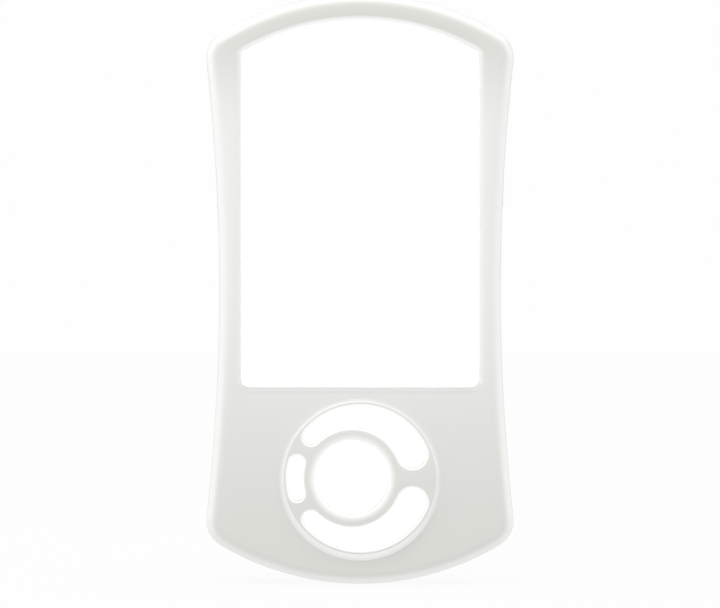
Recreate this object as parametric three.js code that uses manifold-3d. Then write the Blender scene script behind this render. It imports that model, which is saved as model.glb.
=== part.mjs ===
// A pocket digital audio player, in millimetres.
//
// Every piece is drawn lying on its back: x to the right, y towards the top of the display and z
// from the flat back (z = 0) towards the face. The last group turns the player upright, so that the
// face looks along -Y and the display's top is +Z. The origin is the middle of the flat back.

import * as THREE from 'three';
import { mergeVertices } from 'three/addons/utils/BufferGeometryUtils.js';
import Module from 'manifold-3d';

const wasm = await Module();
wasm.setup();

// ---- Driving dimensions -------------------------------------------------------------------------

// Outline of the case: concave sides, bowed ends and round corners.
const HEIGHT = 109.6;
const WAIST = 52.3;
const SIDE_RADIUS = 375;
const END_RADIUS = 50.5;
const CORNER_RADIUS = 5.5;

// Heights above the back.
const REAR_SEAM = 2.3;
const FRONT_SEAM = 8.55;
const FACE = 13;
const SEAM_GAP = 0.12;
const CROWN_RADIUS = 1500; // the face bows this gently from top to bottom
const COVER_UNDERSIDE = 10.6;
const DECK = 10.4; // front of the frame that the front cover seats on
const DECK_REAR = 8.4;

const COVER_WALL = 1.5;
const REAR_FLOOR = 1.2;
const FRONT_RIM = { width: 2.65, depth: 3 };
const REAR_RIM = { width: 3, depth: 2 };
const RUNNING_GAP = 0.15;
const CONTACT_GAP = 0.05;

// Display window, with a bowed top that runs along the end of the case, and the slope round it.
const WINDOW = { halfWidth: 22.1, bottom: -18.2, top: 49.8, topRadius: 44, topCorner: 1, bottomCorner: 1.5 };
const WINDOW_LIP = { width: 1.2, depth: 1 };
const PAD_LIP = 0.4; // bevel round the openings in the pad

// Control pad: a raised disc with a round key, two bowed keys and a slot key.
const PAD_Y = -34.9;
const PAD_RADIUS = 14; // at its top edge; its flank slopes outwards at 45 degrees
const PAD_TOP = 13.2;
const RING_OUTER = 13.4; // outer edge of the bowed openings, about the pad's centre
const HUB_X = -1.45; // the round key sits left of the pad's centre
const HUB_HOLE = 6.85;
const HUB_RING = 9.2; // inner edge of the bowed openings, about the round key's centre
const ARC_END = THREE.MathUtils.degToRad(135); // where a bowed opening ends on the left
const SLOT_END = THREE.MathUtils.degToRad(164.2);
const BULB = { radius: 2.75, angle: THREE.MathUtils.degToRad(25) }; // its round right end

const KEY = { gap: 0.2, flange: 0.6, flangeLow: 7.55, flangeHigh: 8.3, top: 13.35, round: 0.35 };

// Insides.
const BOARD = { low: 5.5, high: 6.3, halfWidth: 22.6, endInset: 2.2 };
const DISPLAY = { halfWidth: 23, bottom: -19.4, top: 46.4, low: 6.5, high: 8.3 };
const DISPLAY_OPENING = [-21.7, 21.7, -17.8, 44.7]; // left, right, bottom and top in the deck
const VISIBLE_AREA = [-21.4, 21.4, -17.5, 44.4]; // the same in the window's white mask
const CASE_SCREWS = { x: 22.8, y: 42.6 };
const BOARD_SCREWS = [[-19.8, -29], [19.8, -29], [0, 49]];
const SIDE_KEY = { z: 4.9, depth: 2.4, length: 9.2, proud: 0.3, flangeIn: 23.75, flangeOut: 24.45 };
const VOLUME_Y = { up: 20, down: 9 };
const HOLD = { y: 18.5, z: 4.9, travel: 3 };
const HEADPHONE = { x: -15.5, z: 4.9, bore: 1.8 };
const USB = { x: 0, z: 4.15, width: 7.6, depth: 2.5 };

// ---- Solids -------------------------------------------------------------------------------------

// A closed geometry as a solid that can be joined and cut.
function solid(geometry) {
  const bare = geometry.clone();
  bare.deleteAttribute('normal');
  bare.deleteAttribute('uv');
  const merged = mergeVertices(bare, 1e-4);
  return new wasm.Manifold(new wasm.Mesh({
    numProp: 3,
    vertProperties: merged.attributes.position.array,
    triVerts: new Uint32Array(merged.index.array),
  }));
}

function geometryOf(shape) {
  const made = shape.getMesh();
  const geometry = new THREE.BufferGeometry();
  geometry.setAttribute('position', new THREE.BufferAttribute(made.vertProperties, 3));
  geometry.setIndex(new THREE.BufferAttribute(made.triVerts, 1));
  geometry.computeVertexNormals();
  return geometry;
}

// The points of a path, without the doubled ones where two curves meet.
function pointsOf(path, divisions = 8) {
  const kept = [];
  for (const point of path.getPoints(divisions)) {
    if (!kept.length || kept.at(-1).distanceTo(point) > 1e-3) kept.push(point);
  }
  if (kept[0].distanceTo(kept.at(-1)) < 1e-3) kept.pop();
  return kept;
}

// A slab of an outline between two heights, whose walls spread out by bevel from both ends.
function slab(path, low, high, divisions = 8, bevel = 0, bevelSegments = 1) {
  const outline = new THREE.Shape(pointsOf(path, divisions));
  const geometry = new THREE.ExtrudeGeometry(outline, {
    depth: high - low - 2 * bevel,
    bevelEnabled: bevel > 0,
    bevelThickness: bevel,
    bevelSize: bevel,
    bevelSegments,
  });
  return solid(geometry.translate(0, 0, low + bevel));
}

function block(xLow, xHigh, yLow, yHigh, zLow, zHigh) {
  const geometry = new THREE.BoxGeometry(xHigh - xLow, yHigh - yLow, zHigh - zLow);
  geometry.translate((xLow + xHigh) / 2, (yLow + yHigh) / 2, (zLow + zHigh) / 2);
  return solid(geometry);
}

// A round post along z.
function post(x, y, radius, low, high, segments = 24) {
  const geometry = new THREE.CylinderGeometry(radius, radius, high - low, segments);
  geometry.rotateX(Math.PI / 2).translate(x, y, (low + high) / 2);
  return solid(geometry);
}

// A round bar along y.
function bar(x, z, radius, yLow, yHigh, segments = 24) {
  const geometry = new THREE.CylinderGeometry(radius, radius, yHigh - yLow, segments);
  return solid(geometry.translate(x, (yLow + yHigh) / 2, z));
}

function roundedRectangle(xLow, xHigh, yLow, yHigh, radius) {
  const path = new THREE.Path();
  path.absarc(xHigh - radius, yLow + radius, radius, -Math.PI / 2, 0);
  path.absarc(xHigh - radius, yHigh - radius, radius, 0, Math.PI / 2);
  path.absarc(xLow + radius, yHigh - radius, radius, Math.PI / 2, Math.PI);
  path.absarc(xLow + radius, yLow + radius, radius, Math.PI, 1.5 * Math.PI);
  return path;
}

// ---- Outlines -----------------------------------------------------------------------------------

const endCentre = HEIGHT / 2 - END_RADIUS;
const sideCentre = WAIST / 2 + SIDE_RADIUS;

// Centre of the upper right corner's arc, which touches the end arc and the side arc.
const cornerCentre = (() => {
  const fromEnd = END_RADIUS - CORNER_RADIUS;
  const fromSide = SIDE_RADIUS + CORNER_RADIUS;
  const apart = Math.hypot(sideCentre, endCentre);
  const along = (fromEnd ** 2 - fromSide ** 2 + apart ** 2) / (2 * apart);
  const across = Math.sqrt(fromEnd ** 2 - along ** 2);
  const towards = new THREE.Vector2(sideCentre, -endCentre).divideScalar(apart);
  return new THREE.Vector2(
    along * towards.x - across * towards.y,
    endCentre + along * towards.y + across * towards.x,
  );
})();

// The case's outline, moved inwards by inset, counter-clockwise.
function caseOutline(inset = 0) {
  const { x, y } = cornerCentre;
  const end = END_RADIUS - inset;
  const side = SIDE_RADIUS + inset;
  const corner = CORNER_RADIUS - inset;
  const sideAngle = Math.atan2(y, sideCentre - x);
  const endAngle = Math.atan2(y - endCentre, x);
  const path = new THREE.Path();
  path.absarc(sideCentre, 0, side, Math.PI + sideAngle, Math.PI - sideAngle, true);
  path.absarc(x, y, corner, -sideAngle, endAngle);
  path.absarc(0, endCentre, end, endAngle, Math.PI - endAngle);
  path.absarc(-x, y, corner, Math.PI - endAngle, Math.PI + sideAngle);
  path.absarc(-sideCentre, 0, side, sideAngle, -sideAngle, true);
  path.absarc(-x, -y, corner, Math.PI - sideAngle, Math.PI + endAngle);
  path.absarc(0, -endCentre, end, Math.PI + endAngle, 2 * Math.PI - endAngle);
  path.absarc(x, -y, corner, -endAngle, sideAngle);
  return path;
}

// The display window's outline, moved outwards by grow.
function windowOutline(grow = 0) {
  const { halfWidth, bottom, top, topRadius, topCorner, bottomCorner } = WINDOW;
  const centreY = top - topRadius;
  const innerX = halfWidth - topCorner;
  const innerY = centreY + Math.sqrt((topRadius - topCorner) ** 2 - innerX ** 2);
  const angle = Math.atan2(innerY - centreY, innerX);
  const lowX = halfWidth - bottomCorner;
  const lowY = bottom + bottomCorner;
  const path = new THREE.Path();
  path.moveTo(0, bottom - grow);
  path.absarc(lowX, lowY, bottomCorner + grow, -Math.PI / 2, 0);
  path.absarc(innerX, innerY, topCorner + grow, 0, angle);
  path.absarc(0, centreY, topRadius + grow, angle, Math.PI - angle);
  path.absarc(-innerX, innerY, topCorner + grow, Math.PI - angle, Math.PI);
  path.absarc(-lowX, lowY, bottomCorner + grow, Math.PI, 1.5 * Math.PI);
  return path;
}

// A board or cover with straight sides and the case's bowed ends.
function bowedRectangle(halfWidth, inset) {
  const radius = END_RADIUS - inset;
  const angle = Math.acos(halfWidth / radius);
  const path = new THREE.Path();
  path.absarc(0, endCentre, radius, angle, Math.PI - angle);
  path.absarc(0, -endCentre, radius, Math.PI + angle, 2 * Math.PI - angle);
  return path;
}

// The round end that fits between the pad's two edges, at an angle about the round key's centre.
function ringEnd(angle, grow) {
  const lean = HUB_X * Math.cos(angle);
  const spare = RING_OUTER ** 2 - HUB_RING ** 2 - HUB_X ** 2 - 2 * lean * HUB_RING;
  const radius = spare / (2 * (lean + HUB_RING + RING_OUTER));
  const x = HUB_X + (HUB_RING + radius) * Math.cos(angle);
  const y = (HUB_RING + radius) * Math.sin(angle);
  return { x, y: PAD_Y + y, radius: radius + grow, fromPad: Math.atan2(y, x) };
}

// The upper bowed opening: a round left end, the hub's edge, a swollen right end, the outer edge.
function arcOutline(grow = 0) {
  const outer = RING_OUTER + grow;
  const hub = HUB_RING - grow;
  const end = ringEnd(ARC_END, grow);
  const bulbX = (RING_OUTER - BULB.radius) * Math.cos(BULB.angle);
  const bulbY = (RING_OUTER - BULB.radius) * Math.sin(BULB.angle);
  const apart = Math.hypot(bulbX - HUB_X, bulbY);
  const tangent = Math.atan2(bulbY, bulbX - HUB_X) + Math.acos((HUB_RING + BULB.radius) / apart);
  const path = new THREE.Path();
  path.absarc(0, PAD_Y, outer, BULB.angle, end.fromPad);
  path.absarc(end.x, end.y, end.radius, end.fromPad, ARC_END + Math.PI);
  path.absarc(HUB_X, PAD_Y, hub, ARC_END, tangent, true);
  path.absarc(bulbX, PAD_Y + bulbY, BULB.radius + grow, tangent + Math.PI, BULB.angle + 2 * Math.PI);
  return path;
}

// The slot opening on the left of the pad.
function slotOutline(grow = 0) {
  const end = ringEnd(SLOT_END, grow);
  const low = 2 * Math.PI - SLOT_END;
  const path = new THREE.Path();
  path.absarc(0, PAD_Y, RING_OUTER + grow, end.fromPad, 2 * Math.PI - end.fromPad);
  path.absarc(end.x, 2 * PAD_Y - end.y, end.radius, 2 * Math.PI - end.fromPad, low + Math.PI);
  path.absarc(HUB_X, PAD_Y, HUB_RING - grow, low, SLOT_END, true);
  path.absarc(end.x, end.y, end.radius, SLOT_END - Math.PI, end.fromPad);
  return path;
}

function hubOutline(grow = 0) {
  return new THREE.Path().absarc(HUB_X, PAD_Y, HUB_HOLE + grow, 0, 2 * Math.PI);
}

const upsideDown = (shape) => shape.translate(0, -PAD_Y, 0).mirror([0, 1, 0]).translate(0, PAD_Y, 0);

// The front keys: the slab of each key's outline, grown by grow, and where its switch is. The down
// key is the up key turned over.
const KEYS = {
  centre: {
    shape: (grow, low, high, ...bevel) => slab(hubOutline(grow), low, high, 20, ...bevel),
    switch: { x: HUB_X, y: PAD_Y, size: 4 },
  },
  up: {
    shape: (grow, low, high, ...bevel) => slab(arcOutline(grow), low, high, 8, ...bevel),
    switch: { x: 0, y: PAD_Y + 11.3, size: 3 },
  },
  down: {
    shape: (grow, low, high, ...bevel) => upsideDown(slab(arcOutline(grow), low, high, 8, ...bevel)),
    switch: { x: 0, y: PAD_Y - 11.3, size: 3 },
  },
  back: {
    shape: (grow, low, high, ...bevel) => slab(slotOutline(grow), low, high, 5, ...bevel),
    switch: { x: -12, y: PAD_Y, size: 2.6 },
  },
};

// ---- Rounded shells -----------------------------------------------------------------------------

const crowned = (y) => FACE - y ** 2 / (2 * CROWN_RADIUS);

// A solid through rings of an outline that is the same left and right, lowest first. Each ring has
// an offset and a height for a given y. The ends are closed by strips between left and right points
// of the same y.
function ringStack(outline, rings) {
  const loops = rings.map(({ offset, height }) => {
    const points = pointsOf(outline(offset));
    const isLower = (p, q) => p.y < q.y - 1e-6 || (p.y < q.y + 1e-6 && Math.abs(p.x) < Math.abs(q.x));
    const lowest = points.reduce((best, p, i) => (isLower(p, points[best]) ? i : best), 0);
    return [...points.slice(lowest), ...points.slice(0, lowest)]
      .map((p) => new THREE.Vector3(p.x, p.y, height(p.y)));
  });
  const count = loops[0].length;
  const index = [];
  for (let ring = 0; ring + 1 < loops.length; ring += 1) {
    for (let i = 0; i < count; i += 1) {
      const [a, b] = [ring * count + i, ring * count + ((i + 1) % count)];
      index.push(a, b, b + count, a, b + count, a + count);
    }
  }
  const top = (loops.length - 1) * count;
  for (let i = 0; i < count / 2; i += 1) {
    const [right, nextRight] = [i, i + 1];
    const [left, nextLeft] = [(count - i) % count, count - i - 1];
    for (const [base, flip] of [[0, true], [top, false]]) {
      for (const [a, b, c] of [[right, nextRight, nextLeft], [right, nextLeft, left]]) {
        if (a === b || b === c || a === c) continue;
        index.push(base + a, base + (flip ? c : b), base + (flip ? b : c));
      }
    }
  }
  const geometry = new THREE.BufferGeometry().setFromPoints(loops.flat());
  return solid(geometry.setIndex(index));
}

// Offsets inwards and drops of a rim that curves from the side wall onto a face.
function rimSteps({ width, depth }, steps = 4) {
  return Array.from({ length: steps + 1 }, (_, i) => {
    const angle = (i / steps) * (Math.PI / 2);
    return { offset: width * (1 - Math.cos(angle)), drop: depth * (1 - Math.sin(angle)) };
  });
}

// ---- Case ---------------------------------------------------------------------------------------

// Tabs inside the front cover's wall, which sit in grooves of the frame: centre and half length.
const TABS = [[25.2, 22], [25.2, -22], [-25.2, 22], [-25.2, -22], [0, 53.2], [0, -53.2]];

function tabBlocks(spread, low, high) {
  return TABS.map(([x, y]) => {
    const onSide = x !== 0;
    const halfX = onSide ? 0.45 + spread : 3 + spread;
    const halfY = onSide ? 2 + spread : 0.45 + spread;
    return block(x - halfX, x + halfX, y - halfY, y + halfY, low, high);
  });
}

function frontCover() {
  const low = FRONT_SEAM + SEAM_GAP;
  const rim = rimSteps(FRONT_RIM).map(({ offset, drop }) => ({ offset, height: (y) => crowned(y) - drop }));
  let cover = ringStack(caseOutline, [{ offset: 0, height: () => low }, ...rim]);
  const profile = [
    [0, COVER_UNDERSIDE + 0.4],
    [PAD_RADIUS + 1.2, COVER_UNDERSIDE + 0.4],
    [PAD_RADIUS + 1.2, PAD_TOP - 1.3],
    [PAD_RADIUS + 0.2, PAD_TOP - 0.3],
    [PAD_RADIUS, PAD_TOP - 0.08],
    [PAD_RADIUS - 0.3, PAD_TOP],
    [0, PAD_TOP],
  ].map(([r, h]) => new THREE.Vector2(r, h));
  const disc = new THREE.LatheGeometry(profile, 64).rotateX(Math.PI / 2).translate(0, PAD_Y, 0);
  cover = cover.add(solid(disc));
  cover = cover.subtract(slab(caseOutline(COVER_WALL), low - 1, COVER_UNDERSIDE));
  const past = 1.4; // the cutter's slope runs on this far beyond the face
  cover = cover.subtract(ringStack(windowOutline, [
    { offset: 0, height: () => low },
    { offset: 0, height: (y) => crowned(y) - WINDOW_LIP.depth },
    { offset: WINDOW_LIP.width * past, height: (y) => crowned(y) + WINDOW_LIP.depth * (past - 1) },
    { offset: WINDOW_LIP.width * past, height: () => FACE + 1 },
  ]));
  for (const key of Object.values(KEYS)) {
    cover = cover.subtract(key.shape(0, low, FACE + 2)).subtract(key.shape(0, PAD_TOP - PAD_LIP, FACE + 3, PAD_LIP));
  }
  for (const tab of tabBlocks(0, low, low + 1.2)) cover = cover.add(tab);
  return cover;
}

function rearCover() {
  const rim = rimSteps(REAR_RIM).reverse().map(({ offset, drop }) => ({ offset, height: () => drop }));
  let cover = ringStack(caseOutline, [...rim, { offset: 0, height: () => REAR_SEAM }]);
  cover = cover.subtract(slab(caseOutline(COVER_WALL), REAR_FLOOR, REAR_SEAM + 1));
  for (const x of [-CASE_SCREWS.x, CASE_SCREWS.x]) {
    for (const y of [-CASE_SCREWS.y, CASE_SCREWS.y]) {
      cover = cover.add(post(x, y, 2.6, REAR_FLOOR - 0.3, REAR_SEAM));
      cover = cover.subtract(post(x, y, 1.75, -1, 1.4)).subtract(post(x, y, 1, 0, REAR_SEAM + 1));
    }
  }
  return cover;
}

// Opening in the frame for a side key, and for the hold switch's knob.
const sideKeyHole = (y) => block(20, 30, y - SIDE_KEY.length / 2 - RUNNING_GAP, y + SIDE_KEY.length / 2
  + RUNNING_GAP, SIDE_KEY.z - SIDE_KEY.depth / 2 - RUNNING_GAP, SIDE_KEY.z + SIDE_KEY.depth / 2 + RUNNING_GAP);

function midFrame() {
  const low = REAR_SEAM + SEAM_GAP;
  let frame = slab(caseOutline(0.1), low, FRONT_SEAM);
  frame = frame.add(slab(caseOutline(COVER_WALL + RUNNING_GAP), FRONT_SEAM - 0.5, DECK));
  frame = frame.subtract(slab(caseOutline(COVER_WALL), low - 1, DECK_REAR));
  frame = frame.subtract(slab(windowOutline(1.4), DECK - 1.3, DECK + 1));
  frame = frame.subtract(slab(roundedRectangle(...DISPLAY_OPENING, 0.6), DECK_REAR - 1, DECK, 2));
  for (const key of Object.values(KEYS)) frame = frame.subtract(key.shape(0.1, DECK_REAR - 1, DECK + 1));
  for (const groove of tabBlocks(RUNNING_GAP + 0.05, FRONT_SEAM, DECK + 1)) frame = frame.subtract(groove);
  for (const side of [-1, 1]) {
    for (const y of [-CASE_SCREWS.y, CASE_SCREWS.y]) {
      const x = side * CASE_SCREWS.x;
      const webEnd = side * 27.2;
      frame = frame.add(post(x, y, 2, low + 0.1, 6.2));
      frame = frame.add(block(Math.min(x, webEnd), Math.max(x, webEnd), y - 0.7, y + 0.7, low + 0.1, 6.2));
      frame = frame.subtract(post(x, y, 0.9, 0, 6));
    }
  }
  for (const [x, y] of BOARD_SCREWS) {
    frame = frame.add(post(x, y, 1.7, BOARD.high + CONTACT_GAP, DECK_REAR + 0.2));
    frame = frame.subtract(post(x, y, 0.7, BOARD.high - 1, 8.2));
  }
  for (const y of Object.values(VOLUME_Y)) frame = frame.subtract(sideKeyHole(y));
  const holdMiddle = HOLD.y + HOLD.travel / 2;
  frame = frame.subtract(block(-30, -26.05, holdMiddle - 5.2, holdMiddle + 5.2, HOLD.z - 1.6, HOLD.z + 1.6));
  frame = frame.subtract(block(-30, -20, holdMiddle - 3.3, holdMiddle + 3.3, HOLD.z - 0.8, HOLD.z + 0.8));
  frame = frame.subtract(bar(HEADPHONE.x, HEADPHONE.z, 2.75, -60, -45));
  const usbX = USB.width / 2 + 0.2;
  const usbZ = USB.depth / 2 + 0.2;
  return frame.subtract(block(-usbX, usbX, -60, -48, USB.z - usbZ, USB.z + usbZ));
}

// Pan-head screw with a cross recess: head on its low side, shank upwards.
function screw({ head, headHeight, shank, length }) {
  let made = post(0, 0, head, 0, headHeight, 20).add(post(0, 0, shank, headHeight - 0.1, headHeight + length, 12));
  const reach = head * 0.62;
  made = made.subtract(block(-reach, reach, -0.16, 0.16, -1, headHeight * 0.55));
  return made.subtract(block(-0.16, 0.16, -reach, reach, -1, headHeight * 0.55));
}

// ---- Keys and switches --------------------------------------------------------------------------

// A front key: a cap that fills its opening, on a flange held behind the frame's deck.
function frontKey(shape) {
  const cap = shape(-KEY.gap - KEY.round, KEY.flangeLow + 0.1, KEY.top, KEY.round, 2);
  return cap.add(shape(KEY.flange, KEY.flangeLow, KEY.flangeHigh));
}

// A side key, on the right: a cap that follows the concave side, on a flange inside the wall.
function sideKey(y) {
  const [half, depth] = [SIDE_KEY.length / 2, SIDE_KEY.depth / 2];
  const outer = caseSide(y) + SIDE_KEY.proud;
  const cap = slab(roundedRectangle(SIDE_KEY.flangeOut - 0.2, outer, -half, half, 0.7), -depth, depth, 3);
  const [low, high] = [SIDE_KEY.flangeIn, SIDE_KEY.flangeOut];
  return cap.add(block(low, high, -half - 0.6, half + 0.6, -depth - 0.5, depth + 0.5));
}

// How far the case's side is from its middle at a height y.
function caseSide(y) {
  return sideCentre - Math.sqrt(SIDE_RADIUS ** 2 - y ** 2);
}

function holdSlider() {
  const pad = slab(roundedRectangle(-26.85, -26.2, -3.2, 3.2, 0.3), -1.35, 1.35, 3);
  const neck = block(-26.4, -24, -1.6, 1.6, -0.65, 0.65);
  const fork = block(-24.2, -23.4, -2.2, 2.2, -1.1, 1.1);
  return pad.add(neck).add(fork).subtract(block(-24.5, -23, -0.65, 0.65, -2, 0.35));
}

// The slide switch behind the hold slider, open on the side where its lever runs.
function holdSwitch() {
  return block(-22.6, -20.6, -2, 5, -1.1, 0.5).subtract(block(-23, -21.6, -1.1, HOLD.travel + 1.1, -0.6, 0.1));
}

// A tactile switch with its plunger pointing along +z, and the well that the plunger drops into.
function switchBody(width, length, height, plunger) {
  return block(-width / 2, width / 2, -length / 2, length / 2, 0, height)
    .subtract(post(0, 0, plunger + 0.08, height - 0.6, height + 1, 20));
}

// ---- Insides ------------------------------------------------------------------------------------

function mainBoard() {
  let board = slab(bowedRectangle(BOARD.halfWidth, BOARD.endInset), BOARD.low, BOARD.high);
  for (const x of [-CASE_SCREWS.x, CASE_SCREWS.x]) {
    for (const y of [-CASE_SCREWS.y, CASE_SCREWS.y]) board = board.subtract(post(x, y, 2.4, 0, 9));
  }
  for (const [x, y] of BOARD_SCREWS) board = board.subtract(post(x, y, 0.95, 0, 9, 16));
  const jackHalf = 3.2;
  return board.subtract(block(HEADPHONE.x - jackHalf, HEADPHONE.x + jackHalf, -60, -38.8, 0, 9));
}

function headphoneSocket() {
  const body = block(HEADPHONE.x - 3, HEADPHONE.x + 3, -49.3, -39, HEADPHONE.z - 2.35, HEADPHONE.z + 2.1);
  return body.add(bar(HEADPHONE.x, HEADPHONE.z, 2.6, -51.2, -48.5))
    .subtract(bar(HEADPHONE.x, HEADPHONE.z, HEADPHONE.bore, -60, -40.2));
}

function usbSocket() {
  const [x, z] = [USB.width / 2, USB.depth / 2];
  const shell = block(-x, x, -54.1, -48.4, -z, z);
  const hollow = block(-x + 0.3, x - 0.3, -60, -49, -z + 0.3, z - 0.3);
  return shell.subtract(hollow).add(block(-2.6, 2.6, -53.4, -48.7, -0.35, 0.3)).translate(USB.x, 0, USB.z);
}

function displayTray() {
  const { halfWidth, bottom, top, low, high } = DISPLAY;
  return block(-halfWidth, halfWidth, bottom, top, low, high - 0.15)
    .subtract(block(-halfWidth + 0.35, halfWidth - 0.35, bottom + 0.35, top - 0.35, low + 0.4, high));
}

// Ribbon from the display's lower edge down to its connector on the board.
function displayCable() {
  const run = new THREE.CatmullRomCurve3([[-19.6, 7.2], [-20.3, 7.1], [-21, 6.75], [-21.8, 6.7]]
    .map(([y, z]) => new THREE.Vector3(0, y, z)));
  const ribbon = new THREE.Shape([[-2.5, -0.1], [2.5, -0.1], [2.5, 0.1], [-2.5, 0.1]]
    .map(([x, y]) => new THREE.Vector2(x, y)));
  return solid(new THREE.ExtrudeGeometry(ribbon, { steps: 10, extrudePath: run }));
}

// A lead from the battery to its connector.
function batteryLead(x) {
  const run = new THREE.CatmullRomCurve3([[x, -8.4, 4.6], [x + 0.4, -9.6, 4.3], [x - 0.4, -11, 4.4], [x, -12.1, 4.7]]
    .map((p) => new THREE.Vector3(...p)));
  const wire = new THREE.Shape().absarc(0, 0, 0.4, 0, 2 * Math.PI);
  return solid(new THREE.ExtrudeGeometry(wire, { steps: 10, curveSegments: 4, extrudePath: run }));
}

function shieldCan() {
  return block(-9, 9, -8, 8, 0, 1.7).subtract(block(-8.7, 8.7, -7.7, 7.7, 0.3, 2));
}

// ---- Materials ----------------------------------------------------------------------------------

const finish = (color, roughness, metalness = 0, extra = {}) => new THREE.MeshStandardMaterial(
  { color, roughness, metalness, ...extra },
);
const SATIN_WHITE = finish(0xdfe0db, 0.38);
const FRAME_GREY = finish(0xb9bbbd, 0.42);
const KEY_WHITE = finish(0xf4f4f2, 0.3);
const CLEAR = finish(0xffffff, 0.05, 0, { transparent: true, opacity: 0.3 });
const SCREEN_WHITE = finish(0xffffff, 0.2, 0, { emissive: 0xffffff });
const STEEL = finish(0xb4b6ba, 0.3, 0.9);
const BOARD_GREEN = finish(0x1f5a38, 0.5);
const CHIP_BLACK = finish(0x1b1c1e, 0.55);
const FOIL = finish(0xc3c6cb, 0.35, 0.6);
const FOAM = finish(0x2b2b2d, 0.9);
const AMBER = finish(0xb06a24, 0.4);
const RED = finish(0xb3221f, 0.45);
const BLACK = finish(0x17181a, 0.5);

// ---- Assembly -----------------------------------------------------------------------------------

const lyingPlayer = new THREE.Group();

function place(name, shape, material, position = [0, 0, 0], rotation = [0, 0, 0], parent = lyingPlayer) {
  const mesh = new THREE.Mesh(geometryOf(shape), material);
  mesh.name = name;
  mesh.position.set(...position);
  mesh.rotation.set(...rotation);
  parent.add(mesh);
  return mesh;
}

place('front_cover', frontCover(), SATIN_WHITE);
place('mid_frame', midFrame(), FRAME_GREY);
place('rear_cover', rearCover(), SATIN_WHITE);

const caseScrew = screw({ head: 1.45, headHeight: 0.9, shank: 0.8, length: 3.6 });
[[-1, 1], [1, 1], [-1, -1], [1, -1]].forEach(([sideX, sideY], i) => {
  place(`case_screw_${i + 1}`, caseScrew, STEEL, [sideX * CASE_SCREWS.x, sideY * CASE_SCREWS.y, 0.45]);
});

// Display and its window.
place('display_window', slab(windowOutline(1.2), DECK - 1, DECK), CLEAR);
place('window_mask', slab(windowOutline(1.2), DECK - 1.25, DECK - 1.05)
  .subtract(slab(roundedRectangle(...VISIBLE_AREA, 0.6), 0, FACE, 2)), KEY_WHITE);
place('display_panel', block(-22.55, 22.55, -18.95, 45.95, 7.35, DISPLAY.high), SCREEN_WHITE);
place('backlight_panel', block(-22.4, 22.4, -18.8, 45.8, 6.95, 7.3), KEY_WHITE);
place('display_tray', displayTray(), STEEL);
place('display_cable', displayCable(), AMBER, [15, 0, 0]);
place('display_connector', block(-3.2, 3.2, -24.2, -22, BOARD.high + CONTACT_GAP, 7), CHIP_BLACK, [15, 0, 0]);

// Front keys, each above its own tactile switch on the board.
for (const [key, { shape, switch: { x, y, size } }] of Object.entries(KEYS)) {
  place(`${key}_key`, frontKey(shape), KEY_WHITE);
  const unit = new THREE.Group();
  unit.position.set(x, y, BOARD.high + CONTACT_GAP);
  lyingPlayer.add(unit);
  place(`${key}_switch`, switchBody(size, size, 0.75, 0.7), STEEL, [0, 0, 0], [0, 0, 0], unit);
  place(`${key}_plunger`, post(0, 0, 0.7, 0.63, 1.15, 20), BLACK, [0, 0, 0], [0, 0, 0], unit);
}

// Volume keys on the right side, with switches that lie on the back of the board and face outwards.
for (const [way, y] of Object.entries(VOLUME_Y)) {
  place(`volume_${way}_key`, sideKey(y), KEY_WHITE, [0, y, SIDE_KEY.z]);
  const unit = new THREE.Group();
  unit.position.set(21, y, SIDE_KEY.z - 0.2);
  unit.rotation.y = Math.PI / 2;
  lyingPlayer.add(unit);
  place(`volume_${way}_switch`, switchBody(1.45, 4, 1.95, 0.5), STEEL, [0, 0, 0], [0, 0, 0], unit);
  place(`volume_${way}_plunger`, post(0, 0, 0.5, 1.8, 2.7, 20), BLACK, [0, 0, 0], [0, 0, 0], unit);
}

// Hold switch on the left side: knob, lever and slide switch.
place('hold_slider', holdSlider(), KEY_WHITE, [0, HOLD.y, HOLD.z]);
place('hold_switch', holdSwitch(), STEEL, [0, HOLD.y, HOLD.z]);
place('hold_lever', block(-23.9, -21.8, -0.45, 0.45, -0.5, 0), BLACK, [0, HOLD.y, HOLD.z]);

// Main board and what it carries on its back.
place('main_board', mainBoard(), BOARD_GREEN);
const boardScrew = screw({ head: 1.35, headHeight: 0.7, shank: 0.6, length: 2.2 });
BOARD_SCREWS.forEach(([x, y], i) => {
  place(`board_screw_${i + 1}`, boardScrew, STEEL, [x, y, BOARD.low - 0.75]);
});
place('processor_chip', block(-5.5, 5.5, -5.5, 5.5, -0.9, 0), CHIP_BLACK, [8, -24, BOARD.low - CONTACT_GAP]);
place('shield_can', shieldCan(), STEEL, [8, -24, BOARD.low - 1.75]);
place('memory_chip', block(-4.5, 4.5, -6, 6, -1, 0), CHIP_BLACK, [-8.5, -21, BOARD.low - CONTACT_GAP]);
place('audio_chip', block(-2.5, 2.5, -2.5, 2.5, -0.8, 0), CHIP_BLACK, [-15.5, -33, BOARD.low - CONTACT_GAP]);
place('power_chip', block(-2, 2, -2, 2, -0.8, 0), CHIP_BLACK, [4, -40, BOARD.low - CONTACT_GAP]);
place('headphone_socket', headphoneSocket(), BLACK);
place('usb_socket', usbSocket(), STEEL);

const pouch = new THREE.ExtrudeGeometry(new THREE.Shape(pointsOf(roundedRectangle(-18.4, 18.4, -26.4, 26.4, 0.8), 3)), {
  depth: 2.2, bevelThickness: 0.6, bevelSize: 0.6, bevelSegments: 2,
});
place('battery', solid(pouch), FOIL, [0, 19, 2.35]);
place('battery_pad', block(-15, 15, -4, 42, 5.2, 5.45), FOAM);
place('battery_lead_red', batteryLead(-18), RED);
place('battery_lead_black', batteryLead(-16.4), BLACK);
place('battery_connector', block(-19.4, -15, -15.2, -12.3, 3.9, BOARD.low - CONTACT_GAP), KEY_WHITE);

const player = new THREE.Group();
lyingPlayer.rotation.x = Math.PI / 2;
player.add(lyingPlayer);

export default player;
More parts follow.
